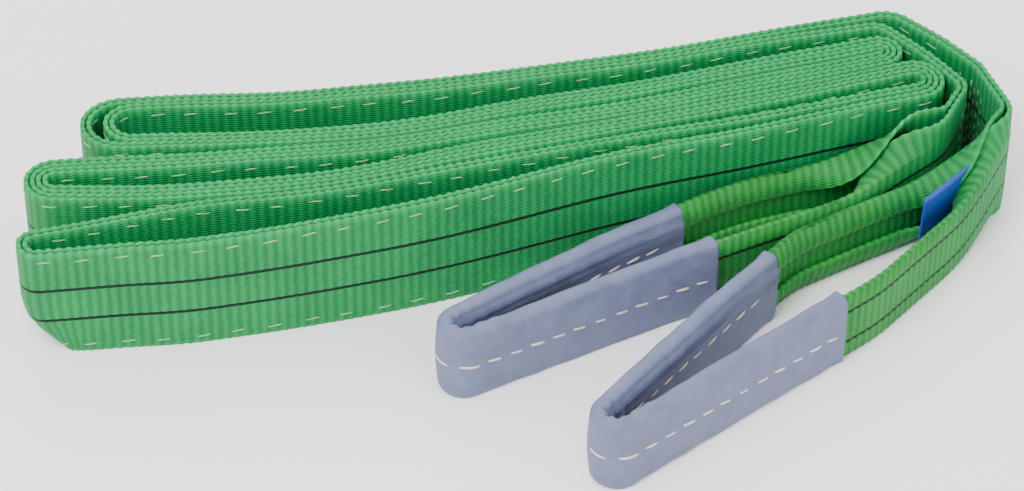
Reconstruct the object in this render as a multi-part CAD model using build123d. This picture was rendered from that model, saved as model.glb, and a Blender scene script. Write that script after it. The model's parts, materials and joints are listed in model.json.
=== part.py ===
from build123d import *
import math
import os

os.makedirs("parts", exist_ok=True)

# A two-ply polyester web sling with two soft eyes, folded for storage. It is folded in half first,
# so that two bodies of web run side by side, and then concertina-wise into five doubled passes.
# The web stands on its edge on z = 0, and the eyes come back along the front of the bundle.
# X runs along the bundle, -Y is the side that the eyes lie on, and lengths are in millimetres.

# Webbing
WEB_WIDTH = 60.0
PLY = 2.5
PLY_GAP = 0.4  # between the two plies, where the stitches lock
BODY_GAP = 0.25  # between two bodies of web that lie side by side
SEAM_INSET = 4.5  # from an edge of the web to its row of stitches
THREAD = 0.9  # width of a row of stitches
THREAD_THICKNESS = 0.3

# Eyes: the web is folded to a narrow leg, which a sleeve covers round the tip
LEG_HEIGHT = 36.0
SLEEVE_WALL = 1.0
SLEEVE_CLEARANCE = 0.2  # between the folded leg and the sleeve
SLEEVE_REACH = 135.0  # along each leg from the tip
TIP_RADIUS = 9.6  # of the middle of the leg round the tip
FOLD_START = 34.0  # from the crotch to where the leg's edges are folded in
TAPER_LENGTH = 78.0  # along X, over which the leg narrows to its folded height
JOINT_CLEARANCE = 0.3  # between the body's rounded end and the eye that turns on it
CROTCH_ROWS = 6
CROTCH_PITCH = 4.0
CROTCH_INSET = 9.0  # from an edge of the web to the ends of the rows

# Bends
SHARP = 0.02  # the smallest radius that is rounded
STRAIGHT = 1e-4  # the smallest turn that is rounded, in radians
GENTLE = 0.45  # share of the shorter run that a gentle bend takes
TIP_TANGENT = 0.999  # share of the tip's radius that its corners take, so that a run is left

# Label
LABEL_HEIGHT = 42.0
LABEL_LENGTH = 66.0
LABEL_THICKNESS = 1.0
LABEL_BASE = 4.0  # its lower edge above the floor

# Worked out from the sizes above
BODY = 2 * PLY + PLY_GAP
PLY_SHIFT = (PLY + PLY_GAP) / 2
LEG = 2 * PLY
SLEEVE = LEG + 2 * (SLEEVE_CLEARANCE + SLEEVE_WALL)
SLEEVE_HEIGHT = LEG_HEIGHT + 2 * (SLEEVE_CLEARANCE + SLEEVE_WALL)
LEG_BASE = SLEEVE_WALL + SLEEVE_CLEARANCE
EYE_DEPTH = 4 * WEB_WIDTH  # to each side of the middle, beyond both eyes

# The pivots, where a body's two plies part into the legs of an eye: place and heading in degrees
PIVOT_A = (228.0, 17.5)
PIVOT_B = (247.4, 22.0)
HEADING_A = 225.0
HEADING_B = 270.0

# Routes are corners (x, y, radius); a radius of None makes the bend as gentle as its runs allow.
# The doubled strand, from the back of the bundle to its last turn, with body A on its left.
STRAND = [
    (150, 88, None), (76, 92, None), (-21, 102.3, None), (-68, 112.3, None), (-110, 122.5, None),
    (-168, 135, 14.4), (-165.5, 104, 14.4), (-126, 95, None), (-71, 80.2, None), (-15, 72, None),
    (75, 70.5, None), (140, 68, None), (212, 68, 5.9), (212, 56, 5.9), (150, 56, None),
    (75, 56.2, None), (-15, 59.8, None), (-71, 68.2, None), (-130, 79.4, None), (-204, 96.5, 8.8),
    (-202.5, 77.5, 8.8), (-130, 55, None), (-71, 47.3, None), (-15, 45.4, None), (75, 44.2, None),
    (150, 44.3, None), (222.5, 44.3, 8.8), (222.5, 26.5, 8.8), (150, 26.5, None),
]
LOOSE_TURN = 5  # the strand's run round its first turn, where the bodies lie apart
LOOSE_GAP = 5.0
# From pivot B round the outside of the right-hand end to the back of the bundle
BACK_B = [(247, 36, 14), (236.5, 62, 45), (224, 88.7, 13)]
# From the back of the bundle round the strand's turns to pivot A
BACK_A = [(214.5, 81.5, 9), (222.5, 62, None), (229, 44, None), (234.8, 24.3, 8)]
# The last pass, on each side of the wedge, and the fold that is the middle of the sling
LAST_B = [(75, 33.3, None), (-15, 35.6, None), (-71, 38.4, None), (-139, 47.4, None),
          (-180, 49.6, None)]
MIDDLE = [(-218.5, 50.5, 6), (-218, 37.5, 6)]
LAST_A = [(-180, 30.3, None), (-150, 23.2, None), (-96, 18, None), (-42, 15.9, None),
          (7, 17.6, None), (75, 22.8, None)]

# The legs' face layers, from the crotch to the start of the straight run to the tip
TIP_A = (-37.0, -43.0)
FRONT_A = [(213, -0.6, None), (160, -14.8, None), (112, -23, None)]
REAR_A = [(219.5, 11.05, 6), (160, 13.5, None), (113, 13, None)]
TIP_B = (9.0, -121.0)
FRONT_B = [(249, -2, None), (213, -34.5, None), (153, -72.5, 110)]
REAR_B = [(245.95, 1, 8), (202, -12, None), (161, -21.5, None), (127, -30.5, 55)]

# The label's sewn edge, between the legs of eye B, and its heading in degrees
LABEL_HINGE = (245.2, -0.3)
LABEL_HEADING = 212.0


def unit(p, q):
    size = math.dist(p[:2], q[:2])
    return ((q[0] - p[0]) / size, (q[1] - p[1]) / size)


def turn(route, i):
    """The signed angle that a route turns at corner i, in radians, positive to the left."""
    before = unit(route[i - 1], route[i])
    after = unit(route[i], route[i + 1])
    cross = before[0] * after[1] - before[1] * after[0]
    dot = before[0] * after[0] + before[1] * after[1]
    return math.atan2(cross, dot)


def rounded(route):
    """The route with a number for every corner's radius."""
    made = [route[0]]
    for i in range(1, len(route) - 1):
        x, y, radius = route[i]
        if radius is None:
            run = min(math.dist(route[i - 1][:2], (x, y)), math.dist(route[i + 1][:2], (x, y)))
            radius = GENTLE * run / max(math.tan(abs(turn(route, i)) / 2), 0.01)
        made.append((x, y, radius))
    return made + [route[-1]]


def beside(route, shift, apart=None):
    """The route moved to its left by shift; apart gives some of its runs a shift of their own."""
    apart = apart or {}
    shifts = [apart.get(i, shift) for i in range(len(route) - 1)]
    made = []
    for i, (x, y, radius) in enumerate(route):
        first = max(i - 1, 0)
        last = min(i, len(route) - 2)
        before = unit(route[first], route[first + 1])
        after = unit(route[last], route[last + 1])
        cross = before[0] * after[1] - before[1] * after[0]
        if i in (0, len(route) - 1) or abs(cross) < 1e-6:
            made.append((x - before[1] * shifts[first], y + before[0] * shifts[first], radius))
            continue
        dot = before[0] * after[0] + before[1] * after[1]
        along = (shifts[last] - shifts[first] * dot) / -cross
        x += -before[1] * shifts[first] + before[0] * along
        y += before[0] * shifts[first] + before[1] * along
        closer = math.copysign(shift, shift * cross)
        made.append((x, y, max(radius - closer, 0.0) if radius else radius))
    return made


def bend(route, i):
    """The start, middle and end of the arc that rounds a route's corner, or the corner alone."""
    x, y, radius = route[i]
    angle = abs(turn(route, i))
    if radius < SHARP or angle < STRAIGHT:
        return [(x, y)]
    back, on = unit((x, y), route[i - 1]), unit((x, y), route[i + 1])
    cut = radius * math.tan(angle / 2)
    half = unit((0, 0), (back[0] + on[0], back[1] + on[1]))
    rise = radius / math.cos(angle / 2) - radius
    return [(x + way[0] * far, y + way[1] * far)
            for way, far in ((back, cut), (half, rise), (on, cut))]


def path(route):
    """The edges along a route: straight runs joined by tangent arcs."""
    edges = []
    last = route[0][:2]
    for i in range(1, len(route)):
        stops = bend(route, i) if i < len(route) - 1 else [route[i][:2]]
        edges.append(Edge.make_line(last, stops[0]))
        if len(stops) == 3:
            edges.append(Edge.make_three_point_arc(*stops))
        last = stops[-1]
    return edges


def band(route, thickness, height, base=0.0):
    """A strip of that thickness and height that stands on its edge along the route."""
    left = beside(route, thickness / 2)
    right = beside(route, -thickness / 2)[::-1]
    edges = path(left) + path(right)
    edges.append(Edge.make_line(left[-1][:2], right[0][:2]))
    edges.append(Edge.make_line(right[-1][:2], left[0][:2]))
    face = Face(Wire(edges))
    return Pos(0, 0, base) * Solid.extrude(face, Vector(0, 0, height))


def length(route):
    """The length of a route along its runs and arcs."""
    total = sum(math.dist(p[:2], q[:2]) for p, q in zip(route, route[1:]))
    for i in range(1, len(route) - 1):
        angle = abs(turn(route, i))
        total -= route[i][2] * (2 * math.tan(angle / 2) - angle)
    return total


def from_pivot(pivot, heading, along, across):
    """The point that lies that far along a pivot's heading, and across to its left."""
    c, s = math.cos(math.radians(heading)), math.sin(math.radians(heading))
    return (pivot[0] + c * along - s * across, pivot[1] + s * along + c * across, 0)


def body_route():
    """The whole body of the sling, from pivot B through the bundle to pivot A."""
    strand = rounded(STRAND)
    shift = (BODY + BODY_GAP) / 2
    loose = shift + LOOSE_GAP / 2
    body_b = beside(strand, -shift, {LOOSE_TURN: -loose})
    body_a = beside(strand, shift, {LOOSE_TURN: loose})
    middle = LAST_B + MIDDLE + LAST_A
    start = from_pivot(PIVOT_B, HEADING_B, BODY / 2, 0)
    end = from_pivot(PIVOT_A, HEADING_A, BODY / 2, 0)
    corners = [start, *BACK_B, *body_b[:-1], *middle, *body_a[:-1][::-1], *BACK_A, end]
    return rounded(corners)


def round_end(solid, pivot, heading):
    """Rounds the end of a body about its pivot, so that the eye can turn on it."""
    ahead = Box(BODY, 2 * BODY, WEB_WIDTH, align=(Align.MIN, Align.CENTER, Align.MIN))
    ahead -= Cylinder(BODY / 2, WEB_WIDTH, align=(Align.CENTER, Align.CENTER, Align.MIN))
    return solid - Pos(pivot[0], pivot[1], 0) * Rot(0, 0, heading) * ahead


def tip_corner(tip, leg, axis, side):
    """The corner where the straight run from a leg, tangent to the tip's circle, meets its end."""
    away = math.dist(leg[:2], tip)
    swing = side * math.asin(TIP_RADIUS / away)
    run = unit(leg, tip)
    c, s = math.cos(swing), math.sin(swing)
    run = (run[0] * c - run[1] * s, run[0] * s + run[1] * c)
    behind = (tip[0] - leg[0]) * axis[0] + (tip[1] - leg[1]) * axis[1]
    reach = (TIP_RADIUS + behind) / (run[0] * axis[0] + run[1] * axis[1])
    return (leg[0] + run[0] * reach, leg[1] + run[1] * reach, TIP_RADIUS * TIP_TANGENT)


def eye_route(pivot, heading, front, rear, tip):
    """The face layer of an eye's web, from the crotch along the front leg, round and back."""
    ahead = BODY / 2 + JOINT_CLEARANCE
    middle = ((front[-1][0] + rear[-1][0]) / 2, (front[-1][1] + rear[-1][1]) / 2)
    axis = unit(middle, tip)
    start = from_pivot(pivot, heading, ahead, PLY_SHIFT)
    end = from_pivot(pivot, heading, ahead, -PLY_SHIFT)
    turns = [tip_corner(tip, front[-1], axis, 1), tip_corner(tip, rear[-1], axis, -1)]
    return rounded([start, *front, *turns, *rear[::-1], end])


def leg_profile(pivot, tip):
    """The space that a leg's height fills: the web's full width, narrowed towards the tip."""
    near, far = pivot[0] - BODY, pivot[0] - TAPER_LENGTH
    top = LEG_BASE + LEG_HEIGHT
    beyond = tip[0] - 2 * SLEEVE - TIP_RADIUS
    right = pivot[0] + 2 * BODY
    outline = Polyline((right, 0), (right, WEB_WIDTH), (near, WEB_WIDTH), (far, top), (beyond, top),
                       (beyond, LEG_BASE), (far, LEG_BASE), (near, 0), close=True)
    return extrude(make_face(Plane.XZ * outline), EYE_DEPTH, both=True)


def eye_web(route, pivot, tip):
    """One web: a face layer all round, and inside it the edges that are folded over."""
    folded = band(beside(route, -PLY), PLY, WEB_WIDTH)
    folded -= Pos(pivot[0], pivot[1], 0) * Cylinder(FOLD_START, 3 * WEB_WIDTH)
    return (band(route, PLY, WEB_WIDTH) + folded) & leg_profile(pivot, tip)


def sleeve_route(route, front):
    """The middle of the leg, from one end of the sleeve round the tip to the other."""
    middle = beside(route, -PLY / 2)
    first = len(front) + 1
    ends = []
    for corner, leg in ((first, first - 1), (first + 1, first + 2)):
        run = unit(middle[corner], middle[leg])
        ends.append((middle[corner][0] + run[0] * SLEEVE_REACH,
                     middle[corner][1] + run[1] * SLEEVE_REACH, 0))
    return [ends[0], middle[first], middle[first + 1], ends[1]]


def sleeve(route):
    bore = LEG + 2 * SLEEVE_CLEARANCE
    inside = band(route, bore, LEG_HEIGHT + 2 * SLEEVE_CLEARANCE, SLEEVE_WALL)
    return band(route, SLEEVE, SLEEVE_HEIGHT) - inside


def sewn_line(route, height):
    return band(route, THREAD_THICKNESS, THREAD, height - THREAD / 2)


def crotch_stitches(route, from_end):
    """The rows that close the crotch, across the web and between its plies."""
    line = Wire(path(route))
    rows = []
    for row in range(CROTCH_ROWS):
        along = BODY + CROTCH_PITCH * row
        at = line.length - along if from_end else along
        tangent = line.tangent_at(at, position_mode=PositionMode.LENGTH)
        place = line.position_at(at, position_mode=PositionMode.LENGTH)
        stitch = Box(THREAD, THREAD_THICKNESS, WEB_WIDTH - 2 * CROTCH_INSET,
                     align=(Align.CENTER, Align.CENTER, Align.MIN))
        angle = math.degrees(math.atan2(tangent.Y, tangent.X))
        rows.append(Pos(place.X, place.Y, CROTCH_INSET) * Rot(0, 0, angle) * stitch)
    return Compound(rows)


def trimmed(route, by):
    """The route without a length at each end."""
    made = list(route)
    for end, inner in ((0, 1), (-1, -2)):
        run = unit(route[end], route[inner])
        made[end] = (route[end][0] + run[0] * by, route[end][1] + run[1] * by, 0)
    return made


nodes = {}

# The bundle: two plies, and the rows of stitches that lock between them near both edges
body = body_route()
print(f"bundle's web {length(body):.0f} mm")
for name, side in (("web_ply_1", PLY_SHIFT), ("web_ply_2", -PLY_SHIFT)):
    ply = band(beside(body, side), PLY, WEB_WIDTH)
    ply = round_end(ply, PIVOT_A, HEADING_A)
    nodes[name] = round_end(ply, PIVOT_B, HEADING_B)
seam = trimmed(body, BODY)
nodes["seam_thread_upper"] = sewn_line(seam, WEB_WIDTH - SEAM_INSET)
nodes["seam_thread_lower"] = sewn_line(seam, SEAM_INSET)
nodes["crotch_stitches_a"] = crotch_stitches(body, True)
nodes["crotch_stitches_b"] = crotch_stitches(body, False)

# The eyes: one folded web each, its wear sleeve, and the lines of stitches on both
eyes = (
    ("eye_a", PIVOT_A, HEADING_A, FRONT_A, REAR_A, TIP_A),
    ("eye_b", PIVOT_B, HEADING_B, FRONT_B, REAR_B, TIP_B),
)
for name, pivot, heading, front, rear, tip in eyes:
    route = eye_route(pivot, heading, front, rear, tip)
    print(f"{name} web {length(route):.0f} mm round")
    nodes[f"{name}_web"] = eye_web(route, pivot, tip)
    cover = sleeve_route(route, front)
    nodes[f"{name}_wear_sleeve"] = sleeve(cover)
    proud = SLEEVE / 2 + THREAD_THICKNESS
    lines = [sewn_line(beside(cover, side * proud), SLEEVE_HEIGHT / 2) for side in (1, -1)]
    nodes[f"{name}_sleeve_stitches"] = Compound(lines)

# The label, which hangs by its sewn end between the legs of eye B
label = Box(LABEL_LENGTH, LABEL_THICKNESS, LABEL_HEIGHT,
            align=(Align.MIN, Align.CENTER, Align.MIN))
label += Cylinder(LABEL_THICKNESS / 2, LABEL_HEIGHT, align=(Align.CENTER, Align.CENTER, Align.MIN))
nodes["label"] = Pos(*LABEL_HINGE, LABEL_BASE) * Rot(0, 0, LABEL_HEADING) * label

# The origin is the middle of the underside of the folded sling's box
centre = Compound(list(nodes.values())).bounding_box().center()
print(f"origin at {centre.X:.4f} {centre.Y:.4f}")
for name, shape in nodes.items():
    shape = Pos(-centre.X, -centre.Y, 0) * shape
    shape.label = name
    export_step(shape, f"parts/{name}.step")
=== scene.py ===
import json
import math

import bpy
import numpy as np
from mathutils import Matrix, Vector


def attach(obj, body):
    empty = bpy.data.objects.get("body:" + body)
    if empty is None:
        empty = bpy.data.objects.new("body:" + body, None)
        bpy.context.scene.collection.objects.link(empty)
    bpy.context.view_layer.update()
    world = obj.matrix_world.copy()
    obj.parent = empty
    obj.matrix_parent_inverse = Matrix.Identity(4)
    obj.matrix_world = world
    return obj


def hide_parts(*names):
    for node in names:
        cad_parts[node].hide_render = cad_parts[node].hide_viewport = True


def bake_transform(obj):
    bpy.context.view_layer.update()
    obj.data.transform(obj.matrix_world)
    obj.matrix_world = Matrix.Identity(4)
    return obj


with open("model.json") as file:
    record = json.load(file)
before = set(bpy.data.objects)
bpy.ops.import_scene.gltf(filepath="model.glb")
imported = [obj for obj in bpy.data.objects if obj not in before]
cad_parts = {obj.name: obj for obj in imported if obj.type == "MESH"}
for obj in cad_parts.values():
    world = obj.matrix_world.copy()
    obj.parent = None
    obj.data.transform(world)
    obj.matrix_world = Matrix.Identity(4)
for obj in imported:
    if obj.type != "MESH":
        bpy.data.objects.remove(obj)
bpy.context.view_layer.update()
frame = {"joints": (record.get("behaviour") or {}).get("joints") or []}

# The floor, the light and the camera. The sling lies on a plain pale floor under large soft lamps,
# and is seen from the front, well above it, through a long lens.
CAMERA_ELEVATION = math.radians(39.5)
CAMERA_TURN = math.radians(-18)
CAMERA_DISTANCE = 1.646
CAMERA_LENS = 124.8
CAMERA_AIM = Vector((-0.0119, 0.0064, 0.030))

camera = bpy.data.cameras.new("camera")
camera.lens = CAMERA_LENS
camera.sensor_width = 36
camera.clip_end = 20
view = bpy.data.objects.new("camera", camera)
view.rotation_euler = (math.pi / 2 - CAMERA_ELEVATION, 0, CAMERA_TURN)
back = view.rotation_euler.to_matrix() @ Vector((0, 0, 1))
view.location = CAMERA_AIM + back * CAMERA_DISTANCE
bpy.context.collection.objects.link(view)
bpy.context.scene.camera = view

bpy.ops.object.select_all(action="DESELECT")
bpy.ops.mesh.primitive_plane_add(size=8)
floor = bpy.context.object
floor.name = "floor"
paper = bpy.data.materials.new("pale floor")
paper.use_nodes = True
matt = paper.node_tree.nodes["Principled BSDF"]
matt.inputs["Base Color"].default_value = (0.97, 0.97, 0.97, 1)
matt.inputs["Roughness"].default_value = 0.8
floor.data.materials.append(paper)

world = bpy.data.worlds.new("studio")
world.use_nodes = True
sky = world.node_tree.nodes["Background"]
sky.inputs["Color"].default_value = (1, 1, 1, 1)
sky.inputs["Strength"].default_value = 1.45
bpy.context.scene.world = world
LAMPS = (
    ("key lamp", (-0.9, -0.7, 1.6), 0.8, 38),
    ("fill lamp", (1.3, -1.2, 1.1), 1.4, 10),
    ("back lamp", (0.2, 1.6, 1.4), 1.2, 14),
)
for name, place, size, power in LAMPS:
    lamp = bpy.data.lights.new(name, "AREA")
    lamp.size = size
    lamp.energy = power
    lit = bpy.data.objects.new(name, lamp)
    lit.location = place
    lit.rotation_euler = (-Vector(place)).to_track_quat("-Z", "Y").to_euler()
    bpy.context.collection.objects.link(lit)

# The webbing. Each weave has crosswise ribs, fine lengthwise threads, two dark marker stripes and a
# knotted edge, drawn on the sheet's own UV: U runs along the web and V across it, both in metres.
# Its colour is darkened in the rib valleys as painted shade and made paler along both edges as a
# painted highlight.
WEB_WIDTH = 0.060
PLY = 0.0025
RIB_PITCH = 0.0045
STRIPE_HEIGHTS = (0.0205, 0.0385)
STRIPE_HALF = 0.0008
STRIPE_TONE = (0.0005, 0.006, 0.002, 1)
RIB_WANDER = 0.0016
THREAD_PITCH = 0.0013
TWILL_ALONG, TWILL_ACROSS = 4200.0, 2400.0
EDGE_HIGHLIGHT_FROM, EDGE_HIGHLIGHT_TO = 0.0028, 0.0006  # in from the edge, where the painted highlight along the edge begins and is full
LEG_FROM, LEG_TO = 0.285, 0.20  # from the tip, where a leg's own tone begins and is full


def webbing(name, deep, pale, leg=None):
    made = bpy.data.materials.new(name)
    made.use_nodes = True
    nodes, links = made.node_tree.nodes, made.node_tree.links
    shader = nodes["Principled BSDF"]

    def speckle(scale, detail):
        node = nodes.new("ShaderNodeTexNoise")
        node.inputs["Scale"].default_value = scale
        node.inputs["Detail"].default_value = detail
        links.new(uv.outputs[0], node.inputs[0])
        return node.outputs[0]

    def math_node(operation, first, second=None, third=None):
        node = nodes.new("ShaderNodeMath")
        node.operation = operation
        for socket, value in zip(node.inputs, (first, second, third)):
            if hasattr(value, "is_linked"):
                links.new(value, socket)
            elif value is not None:
                socket.default_value = value
        return node.outputs[0]

    uv = nodes.new("ShaderNodeUVMap")
    uv.uv_map = "web"
    split = nodes.new("ShaderNodeSeparateXYZ")
    links.new(uv.outputs[0], split.inputs[0])
    along, across = split.outputs[0], split.outputs[1]
    bent = math_node("MULTIPLY_ADD", speckle(260.0, 2.0), RIB_WANDER, along)
    rib = math_node("SINE", math_node("MULTIPLY", bent, 2 * math.pi / RIB_PITCH))
    rib = math_node("MULTIPLY_ADD", rib, 0.5, 0.5)
    thread = math_node("SINE", math_node("MULTIPLY", across, 2 * math.pi / THREAD_PITCH))
    slant = math_node("MULTIPLY", across, TWILL_ACROSS)
    twill = math_node("SINE", math_node("MULTIPLY_ADD", along, TWILL_ALONG, slant))
    fine = math_node("MULTIPLY_ADD", thread, 0.3, math_node("MULTIPLY", twill, 0.2))
    height = math_node("ADD", rib, fine)
    edge = math_node("ABSOLUTE", math_node("SUBTRACT", across, WEB_WIDTH / 2))
    # rim grows towards both edges of the web; in the colour it is a painted highlight there.
    rim = nodes.new("ShaderNodeMapRange")
    links.new(edge, rim.inputs[0])
    for i, value in enumerate((WEB_WIDTH / 2 - EDGE_HIGHLIGHT_FROM, WEB_WIDTH / 2 - EDGE_HIGHLIGHT_TO, 0.0, 1.0)):
        rim.inputs[i + 1].default_value = value
    stripes = None
    for place in STRIPE_HEIGHTS:
        off = math_node("ABSOLUTE", math_node("SUBTRACT", across, place))
        one = math_node("LESS_THAN", off, STRIPE_HALF)
        stripes = one if stripes is None else math_node("ADD", stripes, one)
    # The colour's mix: the web's own random mottle (speckle), painted shade in the rib valleys
    # (rib) and a painted highlight along both edges (rim).
    mottle_and_painted_light = math_node("MULTIPLY_ADD", speckle(38.0, 3.0), 0.55, math_node("MULTIPLY", rib, 0.4))
    mottle_and_painted_light = math_node("MULTIPLY_ADD", rim.outputs[0], 0.25, mottle_and_painted_light)
    if leg:
        inward = nodes.new("ShaderNodeMapRange")
        links.new(math_node("ABSOLUTE", along), inward.inputs[0])
        for i, value in enumerate((LEG_FROM, LEG_TO, 0.0, 1.0)):
            inward.inputs[i + 1].default_value = value
    tone = nodes.new("ShaderNodeMix")
    tone.data_type = "RGBA"
    links.new(mottle_and_painted_light, tone.inputs[0])
    for socket, body_tone in ((6, deep), (7, pale)):
        tone.inputs[socket].default_value = body_tone
        if leg:
            worn = nodes.new("ShaderNodeMix")
            worn.data_type = "RGBA"
            links.new(inward.outputs[0], worn.inputs[0])
            worn.inputs[6].default_value = body_tone
            worn.inputs[7].default_value = leg[socket - 6]
            links.new(worn.outputs[2], tone.inputs[socket])
    marked = nodes.new("ShaderNodeMix")
    marked.data_type = "RGBA"
    links.new(stripes, marked.inputs[0])
    links.new(tone.outputs[2], marked.inputs[6])
    marked.inputs[7].default_value = STRIPE_TONE
    links.new(marked.outputs[2], shader.inputs["Base Color"])
    bump = nodes.new("ShaderNodeBump")
    bump.inputs["Strength"].default_value = 0.9
    bump.inputs["Distance"].default_value = 0.0003
    links.new(height, bump.inputs["Height"])
    links.new(bump.outputs[0], shader.inputs["Normal"])
    shader.inputs["Roughness"].default_value = 0.6
    shader.inputs["Specular IOR Level"].default_value = 0.22
    shader.inputs["Sheen Weight"].default_value = 0.05
    shader.inputs["Sheen Roughness"].default_value = 0.4
    shader.inputs["Sheen Tint"].default_value = (0.7, 1.0, 0.8, 1)
    return made


BODY_TONES = ((0.0005, 0.10, 0.022, 1), (0.006, 0.33, 0.085, 1))
LEG_TONES = ((0.001, 0.085, 0.012, 1), (0.028, 0.34, 0.05, 1))
body_webbing = webbing("webbing", *BODY_TONES)
leg_webbing = webbing("leg webbing", *BODY_TONES, LEG_TONES)

# The body of the sling: two plies that run together from eye B, round the right-hand end, through
# the five doubled passes and the fold at the middle, and back to eye A. Corners are in millimetres
# of the plan, and the swing joint of eye B says where the plan lies in the frame.
MM = 0.001
PLY_SHIFT = 1.45
BODY_HALF = 2.7
BODY_SHIFT = 2.825
PIVOTS = {"a": ((228.0, 17.5), 225.0), "b": ((247.4, 22.0), 270.0)}
STRAND = [
    (150, 88, None), (76, 92, None), (-21, 102.3, None), (-68, 112.3, None), (-110, 122.5, None),
    (-168, 135, 14.4), (-165.5, 104, 14.4), (-126, 95, None), (-71, 80.2, None), (-15, 72, None),
    (75, 70.5, None), (140, 68, None), (212, 68, 5.9), (212, 56, 5.9), (150, 56, None),
    (75, 56.2, None), (-15, 59.8, None), (-71, 68.2, None), (-130, 79.4, None), (-204, 96.5, 8.8),
    (-202.5, 77.5, 8.8), (-130, 55, None), (-71, 47.3, None), (-15, 45.4, None), (75, 44.2, None),
    (150, 44.3, None), (222.5, 44.3, 8.8), (222.5, 26.5, 8.8), (150, 26.5, None),
]
ROUND_B = [(247, 36, 14), (236.5, 62, 45), (224, 88.7, 13)]
ROUND_A = [(214.5, 81.5, 9), (222.5, 62, None), (229, 44, None), (234.8, 24.3, 8)]
LAST = [(75, 33.3, None), (-15, 35.6, None), (-71, 38.4, None), (-139, 47.4, None),
        (-180, 49.6, None), (-218.5, 50.5, 6), (-218, 37.5, 6), (-180, 30.3, None),
        (-150, 23.2, None), (-96, 18, None), (-42, 15.9, None), (7, 17.6, None), (75, 22.8, None)]
LOOSE_RUN = 5
LOOSE_SHIFT = 2.5
JOINED = 40  # how far before a pivot each eye's own strip begins
STEP = 1.4
SAMPLE = 0.5  # between the points of a traced line
RELIEF = 0.13  # of the ribs, in millimetres
LEG_RELIEF = 0.12  # more of it where a leg is folded
KNOTS = 0.45  # how far the edges' knots stand proud
FLAP = 12  # the part of the width that is folded over at each edge
PANEL_TOP = 48
LEG_BASE = 1.2
FLAP_GAP = 0.2
LEVELS = np.array([0.1, 0.6, 5.0, 11.9, 12.1, 21.0, 30.0, 39.0, 47.9, 48.1, 55.0, 59.4, 59.9])
ROUNDING = np.array([0.5, 0.88, 1, 1, 1, 1, 1, 1, 1, 1, 1, 0.88, 0.5])


def unit(p, q):
    size = math.dist(p[:2], q[:2])
    return ((q[0] - p[0]) / size, (q[1] - p[1]) / size)


def turning(route, i):
    before, after = unit(route[i - 1], route[i]), unit(route[i], route[i + 1])
    return math.atan2(before[0] * after[1] - before[1] * after[0],
                      before[0] * after[0] + before[1] * after[1])


def rounded(route):
    made = [route[0]]
    for i in range(1, len(route) - 1):
        x, y, radius = route[i]
        if radius is None:
            run = min(math.dist(route[i - 1][:2], (x, y)), math.dist(route[i + 1][:2], (x, y)))
            radius = 0.45 * run / max(math.tan(abs(turning(route, i)) / 2), 0.01)
        made.append((x, y, radius))
    return made + [route[-1]]


def beside(route, shift, apart=None):
    apart = apart or {}
    shifts = [apart.get(i, shift) for i in range(len(route) - 1)]
    made = []
    for i, (x, y, radius) in enumerate(route):
        first, last = max(i - 1, 0), min(i, len(route) - 2)
        before, after = unit(route[first], route[first + 1]), unit(route[last], route[last + 1])
        cross = before[0] * after[1] - before[1] * after[0]
        dot = before[0] * after[0] + before[1] * after[1]
        if i in (0, len(route) - 1) or abs(cross) < 1e-6:
            made.append((x - before[1] * shifts[first], y + before[0] * shifts[first], radius))
            continue
        along = (shifts[last] - shifts[first] * dot) / -cross
        x += -before[1] * shifts[first] + before[0] * along
        y += before[0] * shifts[first] + before[1] * along
        if radius:
            radius = max(radius - math.copysign(shift, shift * cross), 0.0)
        made.append((x, y, radius))
    return made


def traced(route):
    """Points along the route's runs and arcs, evenly spaced."""
    dense = [route[0][:2]]
    for i in range(1, len(route) - 1):
        x, y, radius = route[i]
        angle = turning(route, i)
        if radius < 0.02 or abs(angle) < 1e-4:
            dense.append((x, y))
            continue
        run = unit(route[i - 1], route[i])
        cut = radius * math.tan(abs(angle) / 2)
        side = math.copysign(radius, angle)
        start = (x - run[0] * cut, y - run[1] * cut)
        hub = (start[0] - run[1] * side, start[1] + run[0] * side)
        steps = max(4, int(abs(angle) * radius / 0.4))
        for k in range(steps + 1):
            c, s = math.cos(angle * k / steps), math.sin(angle * k / steps)
            dx, dy = start[0] - hub[0], start[1] - hub[1]
            dense.append((hub[0] + c * dx - s * dy, hub[1] + s * dx + c * dy))
    dense.append(route[-1][:2])
    dense = np.array(dense)
    far = np.concatenate(([0], np.cumsum(np.hypot(*np.diff(dense, axis=0).T))))
    even = np.linspace(0, far[-1], int(far[-1] / SAMPLE) + 1)
    return np.stack([np.interp(even, far, dense[:, k]) for k in (0, 1)], axis=1)


def resampled(line, start, end, step):
    """The line from one length along it to another, its lengths and its left-hand normals."""
    far = np.concatenate(([0], np.cumsum(np.hypot(*np.diff(line, axis=0).T))))
    end = far[-1] - end
    at = np.linspace(start, end, int((end - start) / step) + 1)
    x, y = np.interp(at, far, line[:, 0]), np.interp(at, far, line[:, 1])
    ahead = np.stack([np.interp(at + 0.6, far, line[:, k]) - np.interp(at - 0.6, far, line[:, k])
                      for k in (0, 1)], axis=1)
    ahead /= np.hypot(*ahead.T)[:, None]
    return np.stack([x, y], axis=1), at, np.stack([-ahead[:, 1], ahead[:, 0]], axis=1)


def from_pivot(eye, along, across):
    (x, y), heading = PIVOTS[eye]
    c, s = math.cos(math.radians(heading)), math.sin(math.radians(heading))
    return (x + c * along - s * across, y + s * along + c * across, 0)


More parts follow.
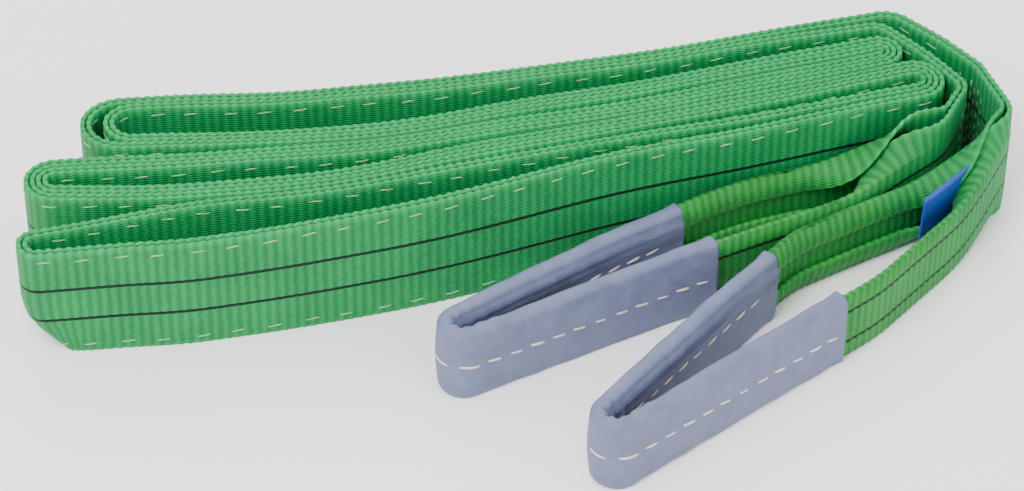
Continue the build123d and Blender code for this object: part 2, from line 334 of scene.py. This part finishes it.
def settled(points):
    """The folded cloth's small lean and sag, the same for neighbours, so that nothing crosses."""
    x, y, z = points.T
    up = np.clip(z / 60, 0, 1)
    lean = np.sin(x / 47 + 0.8) * 0.9 + np.sin(x / 23 + y / 60) * 0.5
    sag = np.sin(x / 61 + y / 35 + 1.3) * 0.8 + np.sin(x / 19 - y / 12) * 0.35
    corner = np.clip((-190 - x) / 28, 0, 1) * np.clip((75 - y) / 20, 0, 1)
    tuck = corner ** 2 * np.clip(1 - z / 26, 0, 1) ** 1.5
    out = points.copy()
    out[:, 0] += tuck * 15
    out[:, 1] += up * lean
    out[:, 2] += up * (sag - 0.4)
    return out


swing_b = next(joint for joint in frame["joints"] if joint["name"] == "eye_b_swing")
PLAN = np.array([swing_b["pos_m"][k] - PIVOTS["b"][0][k] * MM for k in (0, 1)] + [0])


def meshed(name, points, faces, uvs, material):
    """An object at the origin, made from points in plan millimetres."""
    mesh = bpy.data.meshes.new(name)
    mesh.from_pydata((points * MM + PLAN).tolist(), [], faces)
    layer = mesh.uv_layers.new(name="web")
    corners = np.empty(len(mesh.loops), dtype=np.int32)
    mesh.loops.foreach_get("vertex_index", corners)
    layer.data.foreach_set("uv", np.asarray(uvs, dtype=np.float32)[corners].ravel() * MM)
    mesh.polygons.foreach_set("use_smooth", [True] * len(mesh.polygons))
    mesh.materials.append(material)
    mesh.update()
    made = bpy.data.objects.new(name.replace("_", "-"), mesh)
    bpy.context.collection.objects.link(made)
    return made


def lofted(count, size):
    """Quads between rings of points, with the first and the last ring closed."""
    i = np.arange(count - 1)[:, None] * size
    k = np.arange(size)[None, :]
    after = (k + 1) % size
    quads = np.stack([i + k, i + size + k, i + size + after, i + after], axis=-1)
    quads = quads.reshape(-1, 4).tolist()
    half = size // 2
    for start, flip in ((0, False), ((count - 1) * size, True)):
        for j in range(half - 1):
            quad = [start + j, start + j + 1, start + size - 2 - j, start + size - 1 - j]
            quads.append(quad[::-1] if flip else quad)
    return quads


def strip(name, line, start, end, folded, material, centre=0.0):
    """A ply along the line. folded says how far its edges are folded inwards at each length, from
    0 to 1, and the web's U is nought at the centre."""
    place, at, left = resampled(line, start, end, STEP)
    ply = PLY / MM
    fold = folded(at)[:, None]
    rib = (RELIEF + LEG_RELIEF * fold) * np.cos(2 * math.pi * at / (RIB_PITCH / MM))[:, None]
    knots = KNOTS * np.sin(2 * math.pi * at / 4.5 + 1.1 * np.sin(at / 31))[:, None]
    base = FLAP + fold * (LEG_BASE - FLAP)
    angle = math.pi * fold
    ring = []
    for face in (1, -1):
        v = LEVELS[::face][None, :]
        low, high = np.clip(FLAP - v, 0, FLAP), np.clip(v - PANEL_TOP, 0, FLAP)
        flap = low + high
        middle = np.clip(v, FLAP, PANEL_TOP) - FLAP
        half = face * (ply / 2 + rib) * ROUNDING
        turned = np.where(flap > 0, angle, 0)
        laid = (ply + FLAP_GAP) * (1 - np.cos(turned)) / 2 * np.clip(flap / 3, 0, 1)
        out = -(flap * np.sin(turned) + laid)
        out = out + half * np.where(flap > 0, np.cos(turned), 1)
        sign = np.where(high > 0, 1, -1)
        up = base + middle + sign * flap * np.cos(turned)
        up = up + half * sign * np.sin(turned) * (flap > 0)
        rim = np.clip((np.abs(v - 30) - 28) / 1.5, 0, 1) * knots
        up = up + rim * sign * np.cos(turned)
        ring.append((out, up, np.broadcast_to(v, out.shape)))
    across, up, v = (np.concatenate(pair, axis=1) for pair in zip(*ring))
    points = np.stack([place[:, 0:1] + left[:, 0:1] * across,
                       place[:, 1:2] + left[:, 1:2] * across, up], axis=-1).reshape(-1, 3)
    uvs = np.stack([np.broadcast_to(at[:, None] - centre, v.shape), v], axis=-1).reshape(-1, 2)
    faces = lofted(len(at), 2 * len(LEVELS))
    return meshed(name, settled(points), faces, uvs, material)


strand = rounded(STRAND)
right_body = beside(strand, -BODY_SHIFT, {LOOSE_RUN: -BODY_SHIFT - LOOSE_SHIFT})
left_body = beside(strand, BODY_SHIFT, {LOOSE_RUN: BODY_SHIFT + LOOSE_SHIFT})
body = rounded([from_pivot("b", BODY_HALF, 0), *ROUND_B, *right_body[:-1], *LAST,
                *left_body[:-1][::-1], *ROUND_A, from_pivot("a", BODY_HALF, 0)])
plies = {1: traced(beside(body, PLY_SHIFT)), -1: traced(beside(body, -PLY_SHIFT))}
for side, node in ((1, "web_ply_1"), (-1, "web_ply_2")):
    ply = strip(node, plies[side], JOINED, JOINED, np.zeros_like, body_webbing)
    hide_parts(node)
    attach(ply, "bundle")

# The rows of thread that lock the two plies, seen as separate dashes on both faces of the body.
# Each dash lies on the cloth and dips into it at both ends.
SEAM_HEIGHTS = {"seam_thread_upper": 55.5, "seam_thread_lower": 4.5}
SEAM_PITCH = 17.0
SEAM_DASH = 6.5
THREAD_WIDTH = 0.8
THREAD_PROUD = 0.25
THREAD_SUNK = 0.4


def spun(name, deep, pale):
    made = bpy.data.materials.new(name)
    made.use_nodes = True
    nodes, links = made.node_tree.nodes, made.node_tree.links
    shader = nodes["Principled BSDF"]
    where = nodes.new("ShaderNodeTexCoord")
    strands = nodes.new("ShaderNodeTexWave")
    strands.bands_direction = "DIAGONAL"
    strands.inputs["Scale"].default_value = 420.0
    strands.inputs["Distortion"].default_value = 1.5
    dust = nodes.new("ShaderNodeTexNoise")
    dust.inputs["Scale"].default_value = 90.0
    tint = nodes.new("ShaderNodeMix")
    tint.data_type = "RGBA"
    tint.inputs[6].default_value = deep
    tint.inputs[7].default_value = pale
    relief = nodes.new("ShaderNodeBump")
    relief.inputs["Strength"].default_value = 0.6
    relief.inputs["Distance"].default_value = 0.0003
    links.new(where.outputs["Object"], strands.inputs[0])
    links.new(where.outputs["Object"], dust.inputs[0])
    links.new(dust.outputs[0], tint.inputs[0])
    links.new(tint.outputs[2], shader.inputs["Base Color"])
    links.new(strands.outputs[1], relief.inputs["Height"])
    links.new(relief.outputs[0], shader.inputs["Normal"])
    shader.inputs["Roughness"].default_value = 0.7
    shader.inputs["Sheen Weight"].default_value = 0.2
    return made


web_thread = spun("web thread", (0.12, 0.34, 0.14, 1), (0.36, 0.56, 0.32, 1))
sleeve_thread = spun("sleeve thread", (0.50, 0.47, 0.36, 1), (0.80, 0.76, 0.62, 1))


def stitches(name, runs, outward, width, proud, material):
    """Dashes of thread. runs holds each dash's points on the cloth, outward the cloth's normals."""
    count, stations = runs.shape[:2]
    along = np.gradient(runs, axis=1)
    along /= np.linalg.norm(along, axis=2)[..., None]
    cross = np.cross(along, outward)
    rise = proud * np.sin(np.linspace(0, math.pi, stations)) ** 0.35
    rise = rise[None, :, None] * outward
    ring = [runs + cross * width / 2 - outward * THREAD_SUNK, runs + cross * width / 3 + rise,
            runs - cross * width / 3 + rise, runs - cross * width / 2 - outward * THREAD_SUNK]
    points = np.stack(ring, axis=2)
    faces = []
    for d in range(count):
        first = d * stations * 4
        for j in range(stations - 1):
            a = first + j * 4
            faces += [[a + k, a + (k + 1) % 4, a + 4 + (k + 1) % 4, a + 4 + k] for k in range(4)]
        last = first + (stations - 1) * 4
        faces += [[first + 3, first + 2, first + 1, first], [last, last + 1, last + 2, last + 3]]
    points = settled(points.reshape(-1, 3))
    return meshed(name, points, faces, points[:, :2], material)


def sewn_row(line, trim, height, side, offset, pitch, dash, slope):
    """The runs and normals of a row of dashes along one side of a line."""
    place, at, left = resampled(line, trim, trim, SAMPLE)
    stations = 5
    starts = np.arange(3, len(at) * SAMPLE - dash - 2, pitch)
    starts = starts + 0.8 * np.sin(starts * 1.7)
    index = ((starts[:, None] + np.linspace(0, dash, stations)[None, :]) / SAMPLE).astype(int)
    index = np.clip(index, 0, len(at) - 1)
    x = place[index] + left[index] * side * offset
    z = height + 0.35 * np.sin(starts * 2.3)[:, None]
    z = z + np.linspace(-slope, slope, stations)[None, :]
    outward = np.concatenate([left[index] * side, np.zeros(index.shape + (1,))], axis=2)
    return np.concatenate([x, z[..., None]], axis=2), outward


middle_line = traced(body)
for node, height in SEAM_HEIGHTS.items():
    rows = [sewn_row(middle_line, JOINED, height, side, BODY_HALF, SEAM_PITCH, SEAM_DASH, 0.3)
            for side in (1, -1)]
    runs, outs = (np.concatenate(kind) for kind in zip(*rows))
    sewn = stitches(node, runs, outs, THREAD_WIDTH, THREAD_PROUD, web_thread)
    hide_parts(node)
    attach(sewn, "bundle")

# The rows that close each crotch, sewn across the web just behind the pivot.
CROTCH_ROWS = 6
CROTCH_PITCH = 4.0
CROTCH_DASHES = 6
CROTCH_LOW, CROTCH_HIGH = 9.0, 51.0
for eye, end in (("a", -1), ("b", 1)):
    place, at, left = resampled(middle_line, 0, 0, SAMPLE)
    spots = [int((2 * BODY_HALF + CROTCH_PITCH * row) / SAMPLE) for row in range(CROTCH_ROWS)]
    if end == -1:
        spots = [len(at) - 1 - spot for spot in spots]
    runs, outs = [], []
    span = (CROTCH_HIGH - CROTCH_LOW) / CROTCH_DASHES
    for row, spot in enumerate(spots):
        for side in (1, -1):
            x, y = place[spot] + left[spot] * side * BODY_HALF
            for j in range(CROTCH_DASHES):
                low = CROTCH_LOW + (j + 0.12 + 0.3 * (row % 2)) * span
                runs.append([(x, y, low + span * 0.62 * t / 3) for t in range(4)])
                outs.append([(left[spot][0] * side, left[spot][1] * side, 0)] * 4)
    node = "crotch_stitches_" + eye
    sewn = stitches(node, np.array(runs), np.array(outs), THREAD_WIDTH, THREAD_PROUD, web_thread)
    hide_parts(node)
    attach(sewn, "bundle")

# The eyes. Each one is the web itself, parted from its neighbour at the pivot, folded to a narrow
# leg, taken round the tip and brought back. The ends of a bend about the pivot are worked out,
# unused.
TIP_RADIUS = 9.6
FOLD_FROM, FOLD_OVER = 58.0, 62.0  # along the strip, where the fold begins and how long it takes
BEND = 12  # how far to each side of its pivot a bend's ends are worked out; not used
BEND_HEIGHT = 0.03
EYES = {
    "a": ((-37.0, -43.0), [(213, -0.6, None), (160, -14.8, None), (112, -23, None)],
          [(219.5, 11.05, 6), (160, 13.5, None), (113, 13, None)]),
    "b": ((9.0, -121.0), [(249, -2, None), (213, -34.5, None), (153, -72.5, 110)],
          [(245.95, 1, 8), (202, -12, None), (161, -21.5, None), (127, -30.5, 55)]),
}


def tip_corner(tip, leg, axis, side):
    away = math.dist(leg[:2], tip)
    swing = side * math.asin(TIP_RADIUS / away)
    run = unit(leg, tip)
    c, s = math.cos(swing), math.sin(swing)
    run = (run[0] * c - run[1] * s, run[0] * s + run[1] * c)
    behind = (tip[0] - leg[0]) * axis[0] + (tip[1] - leg[1]) * axis[1]
    reach = (TIP_RADIUS + behind) / (run[0] * axis[0] + run[1] * axis[1])
    return (leg[0] + run[0] * reach, leg[1] + run[1] * reach, TIP_RADIUS * 0.999)


def eye_route(eye):
    tip, front, rear = EYES[eye]
    middle = ((front[-1][0] + rear[-1][0]) / 2, (front[-1][1] + rear[-1][1]) / 2)
    axis = unit(middle, tip)
    turns = [tip_corner(tip, front[-1], axis, 1), tip_corner(tip, rear[-1], axis, -1)]
    return rounded([from_pivot(eye, 3, PLY_SHIFT), *front, *turns, *rear[::-1],
                    from_pivot(eye, 3, -PLY_SHIFT)])


def folding(total):
    def share(at):
        t = np.clip((np.minimum(at, total - at) - FOLD_FROM) / FOLD_OVER, 0, 1)
        return t * t * (3 - 2 * t)
    return share


for eye in ("a", "b"):
    kept = int(JOINED / SAMPLE) + 1
    if eye == "a":
        before, after = plies[1][-kept:], plies[-1][-kept:][::-1]
    else:
        before, after = plies[-1][:kept][::-1], plies[1][:kept]
    web_line = np.concatenate([before, traced(eye_route(eye)), after])
    total = np.hypot(*np.diff(web_line, axis=0).T).sum()
    node = f"eye_{eye}_web"
    web = strip(node, web_line, 0, 0, folding(total), leg_webbing, total / 2)
    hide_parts(node)
    start, end = (PLAN + np.array(from_pivot(eye, reach, 0)) * MM + (0, 0, BEND_HEIGHT)
                  for reach in (-BEND, BEND))
    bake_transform(web)

# The wear sleeves: flat tubes of coated cloth, closed by a rolled seam on the inner side of the
# loop, with a row of long stitches along the outer face and another beside the seam.
SLEEVE_REACH = 135.0
SLEEVE_THICK, SLEEVE_TALL = 7.4, 38.4
SLEEVE_WALL = 1.0
SLEEVE_ROUND = 2.6
SLEEVE_PITCH, SLEEVE_DASH = 11.0, 7.0
SLEEVE_THREAD, SLEEVE_THREAD_PROUD = 1.2, 0.5
RIDGES = ((12, 2.0), (7.5, 1.6))  # the rolled seam's edges: height above the middle, and rise
RIDGE_HALF = 1.5
SIDE_PARTS = 16

sleeve_cloth = bpy.data.materials.new("coated sleeve cloth")
sleeve_cloth.use_nodes = True
coat_nodes, coat_links = sleeve_cloth.node_tree.nodes, sleeve_cloth.node_tree.links
coat = coat_nodes["Principled BSDF"]
coat_uv = coat_nodes.new("ShaderNodeUVMap")
coat_uv.uv_map = "web"
grain = coat_nodes.new("ShaderNodeTexNoise")
grain.inputs["Scale"].default_value = 1500.0
creases = coat_nodes.new("ShaderNodeTexNoise")
creases.inputs["Scale"].default_value = 95.0
creases.inputs["Detail"].default_value = 5.0
creases.inputs["Distortion"].default_value = 0.8
mixed = coat_nodes.new("ShaderNodeMath")
mixed.operation = "MULTIPLY_ADD"
mixed.inputs[1].default_value = 0.12
# The tint follows the crease noise that also drives the bump. It is partly the cloth's own uneven
# tone and partly painted shade that darkens the crease hollows.
tone_and_crease_shade_tint = coat_nodes.new("ShaderNodeMix")
tone_and_crease_shade_tint.data_type = "RGBA"
tone_and_crease_shade_tint.inputs[6].default_value = (0.085, 0.10, 0.175, 1)
tone_and_crease_shade_tint.inputs[7].default_value = (0.165, 0.19, 0.31, 1)
gloss = coat_nodes.new("ShaderNodeMapRange")
gloss.inputs[3].default_value = 0.38
gloss.inputs[4].default_value = 0.62
coat_bump = coat_nodes.new("ShaderNodeBump")
coat_bump.inputs["Strength"].default_value = 0.7
coat_bump.inputs["Distance"].default_value = 0.0012
for target in (grain, creases):
    coat_links.new(coat_uv.outputs[0], target.inputs[0])
coat_links.new(grain.outputs[0], mixed.inputs[0])
coat_links.new(creases.outputs[0], mixed.inputs[2])
coat_links.new(creases.outputs[0], tone_and_crease_shade_tint.inputs[0])
coat_links.new(creases.outputs[0], gloss.inputs[0])
coat.inputs["Specular IOR Level"].default_value = 0.35
coat_links.new(gloss.outputs[0], coat.inputs["Roughness"])
coat_links.new(tone_and_crease_shade_tint.outputs[2], coat.inputs["Base Color"])
coat_links.new(mixed.outputs[0], coat_bump.inputs["Height"])
coat_links.new(coat_bump.outputs[0], coat.inputs["Normal"])


def sleeve_line(eye):
    route = beside(eye_route(eye), -PLY / MM / 2)
    first = len(EYES[eye][1]) + 1
    ends = []
    for corner, leg in ((first, first - 1), (first + 1, first + 2)):
        run = unit(route[corner], route[leg])
        ends.append((route[corner][0] + run[0] * SLEEVE_REACH,
                     route[corner][1] + run[1] * SLEEVE_REACH, 0))
    return traced([ends[0], route[first], route[first + 1], ends[1]])


def sleeve_ring(thick, tall, corner):
    """The flat tube's outline, anticlockwise from the outer face's foot, as (across, up)."""
    points = []
    for hub_x, hub_z, start in ((1, -1, -90), (1, 1, 0), (-1, 1, 90), (-1, -1, 180)):
        for k in range(5):
            a = math.radians(start + 22.5 * k)
            points.append((hub_x * (thick / 2 - corner) + corner * math.cos(a),
                           hub_z * (tall / 2 - corner) + corner * math.sin(a)))
    full = []
    for p, q in zip(points, points[1:] + points[:1]):
        full.append(p)
        if abs(q[1] - p[1]) > tall / 2:
            full += [(p[0] + (q[0] - p[0]) * t / SIDE_PARTS, p[1] + (q[1] - p[1]) * t / SIDE_PARTS)
                     for t in range(1, SIDE_PARTS)]
    return np.array(full)


for eye in ("a", "b"):
    place, at, left = resampled(sleeve_line(eye), 0, 0, 1.0)
    outer = sleeve_ring(SLEEVE_THICK, SLEEVE_TALL, SLEEVE_ROUND)
    inner = sleeve_ring(SLEEVE_THICK - 2 * SLEEVE_WALL, SLEEVE_TALL - 2 * SLEEVE_WALL,
                        SLEEVE_ROUND - SLEEVE_WALL)
    size = len(outer)
    around = np.concatenate(([0], np.cumsum(np.hypot(*np.diff(outer, axis=0).T))))
    half_way = at[-1] / 2
    near_tip = np.clip(1 - np.abs(at - half_way) / 34, 0, 1)[:, None]
    near_end = np.clip(1 - np.minimum(at, at[-1] - at) / 7, 0, 1)[:, None]
    shells, uvs = [], []
    for ring, wall in ((outer, 1), (inner, 0.85)):
        across, up = ring[:, 0][None, :], ring[:, 1][None, :]
        inside = np.clip(-across / 2.0, 0, 1)
        belly = 0.8 * (1 - (up / (SLEEVE_TALL / 2)) ** 2) * np.sign(across)
        rumple = 0.30 * np.sin(at / 5.3 + 2.1 * np.sin(at / 17))[:, None]
        rumple = rumple * np.sin(up / 6.5 + at[:, None] / 13)
        rumple = rumple + 0.9 * near_tip * inside * np.sin(at[:, None] * 2 * math.pi / 7.5)
        drift = up - 0.8 * np.sin(at[:, None] / 26)
        ridge = inside * sum(np.exp(-((drift - high) / RIDGE_HALF) ** 2) * rise
                             for high, rise in RIDGES)
        push = belly + rumple * np.sign(across) - ridge * wall
        push = push + near_end * 0.7 * np.sign(across)
        out = across + push
        lift = up * (1 + 0.02 * near_end) + 0.25 * np.sin(at / 9)[:, None] * np.sign(up)
        z = np.maximum(lift + SLEEVE_TALL / 2, 0.05 + (1 - wall) * 6)
        shells.append(np.stack([place[:, 0:1] + left[:, 0:1] * out,
                                place[:, 1:2] + left[:, 1:2] * out, z], axis=-1))
        uvs.append(np.stack(np.broadcast_arrays(at[:, None], around[None, :]), axis=-1))
    count = len(at)
    faces = []
    for shell, flip in ((0, False), (1, True)):
        base = shell * count * size
        for j in range(count - 1):
            a = base + j * size
            for k in range(size):
                quad = [a + k, a + (k + 1) % size, a + size + (k + 1) % size, a + size + k]
                faces.append(quad if flip else quad[::-1])
    for j, flip in ((0, False), (count - 1, True)):
        for k in range(size):
            p, q = j * size + k, j * size + (k + 1) % size
            quad = [p, q, count * size + q, count * size + p]
            faces.append(quad[::-1] if flip else quad)
    points = np.concatenate([shell.reshape(-1, 3) for shell in shells])
    node = f"eye_{eye}_wear_sleeve"
    uvs = np.concatenate([uv.reshape(-1, 2) for uv in uvs])
    cover = meshed(node, settled(points), faces, uvs, sleeve_cloth)
    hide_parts(node)
    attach(cover, f"eye_{eye}")

    rows = [sewn_row(sleeve_line(eye), 2, SLEEVE_TALL / 2 + higher, side, SLEEVE_THICK / 2 + 0.8,
                     SLEEVE_PITCH, SLEEVE_DASH, 0.4) for higher, side in ((0, 1), (2.5, -1))]
    node = f"eye_{eye}_sleeve_stitches"
    runs, outs = (np.concatenate(kind) for kind in zip(*rows))
    sewn = stitches(node, runs, outs, SLEEVE_THREAD, SLEEVE_THREAD_PROUD, sleeve_thread)
    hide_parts(node)
    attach(sewn, f"eye_{eye}")

# The label, a plain blue woven tab that hangs by its sewn end between the legs of eye B.
LABEL_HINGE, LABEL_HEADING = (245.2, -0.3), 212.0
LABEL_LONG, LABEL_TALL, LABEL_BASE = 66.0, 42.0, 4.0
LABEL_THICK = 0.7

label_cloth = bpy.data.materials.new("label")
label_cloth.use_nodes = True
tag_nodes, tag_links = label_cloth.node_tree.nodes, label_cloth.node_tree.links
tag = tag_nodes["Principled BSDF"]
tag_uv = tag_nodes.new("ShaderNodeUVMap")
tag_uv.uv_map = "web"
tag_weave = tag_nodes.new("ShaderNodeTexChecker")
tag_weave.inputs["Scale"].default_value = 1600.0
tag_fade = tag_nodes.new("ShaderNodeTexNoise")
tag_fade.inputs["Scale"].default_value = 60.0
tag_tint = tag_nodes.new("ShaderNodeMix")
tag_tint.data_type = "RGBA"
tag_tint.inputs[6].default_value = (0.003, 0.038, 0.28, 1)
tag_tint.inputs[7].default_value = (0.012, 0.085, 0.46, 1)
tag_bump = tag_nodes.new("ShaderNodeBump")
tag_bump.inputs["Strength"].default_value = 0.35
tag_bump.inputs["Distance"].default_value = 0.0002
for target in (tag_weave, tag_fade):
    tag_links.new(tag_uv.outputs[0], target.inputs[0])
tag_links.new(tag_fade.outputs[0], tag_tint.inputs[0])
tag_links.new(tag_tint.outputs[2], tag.inputs["Base Color"])
tag_links.new(tag_weave.outputs[1], tag_bump.inputs["Height"])
tag_links.new(tag_bump.outputs[0], tag.inputs["Normal"])
tag.inputs["Roughness"].default_value = 0.42

c, s = math.cos(math.radians(LABEL_HEADING)), math.sin(math.radians(LABEL_HEADING))
columns = np.linspace(0, LABEL_LONG, 34)
rows_up = np.linspace(0, LABEL_TALL, 12)
points, uvs = [], []
for face in (1, -1):
    for z in rows_up[::face]:
        bow = 1.6 * np.sin(columns / LABEL_LONG * math.pi) * (0.4 + 0.6 * z / LABEL_TALL)
        bow = bow + (columns / LABEL_LONG) ** 2 * (z / LABEL_TALL - 0.5) * 2.2
        across = bow + face * LABEL_THICK / 2
        points.append(np.stack([LABEL_HINGE[0] + c * columns - s * across,
                                LABEL_HINGE[1] + s * columns + c * across,
                                np.full_like(columns, LABEL_BASE + z)], axis=-1))
        uvs.append(np.stack([columns, np.full_like(columns, z)], axis=-1))
points = np.stack(points, axis=1).reshape(-1, 3)
uvs = np.stack(uvs, axis=1).reshape(-1, 2)
faces = lofted(len(columns), 2 * len(rows_up))
tab = meshed("blue_label", settled(points), faces, uvs, label_cloth)
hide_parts("label")
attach(tab, "label")
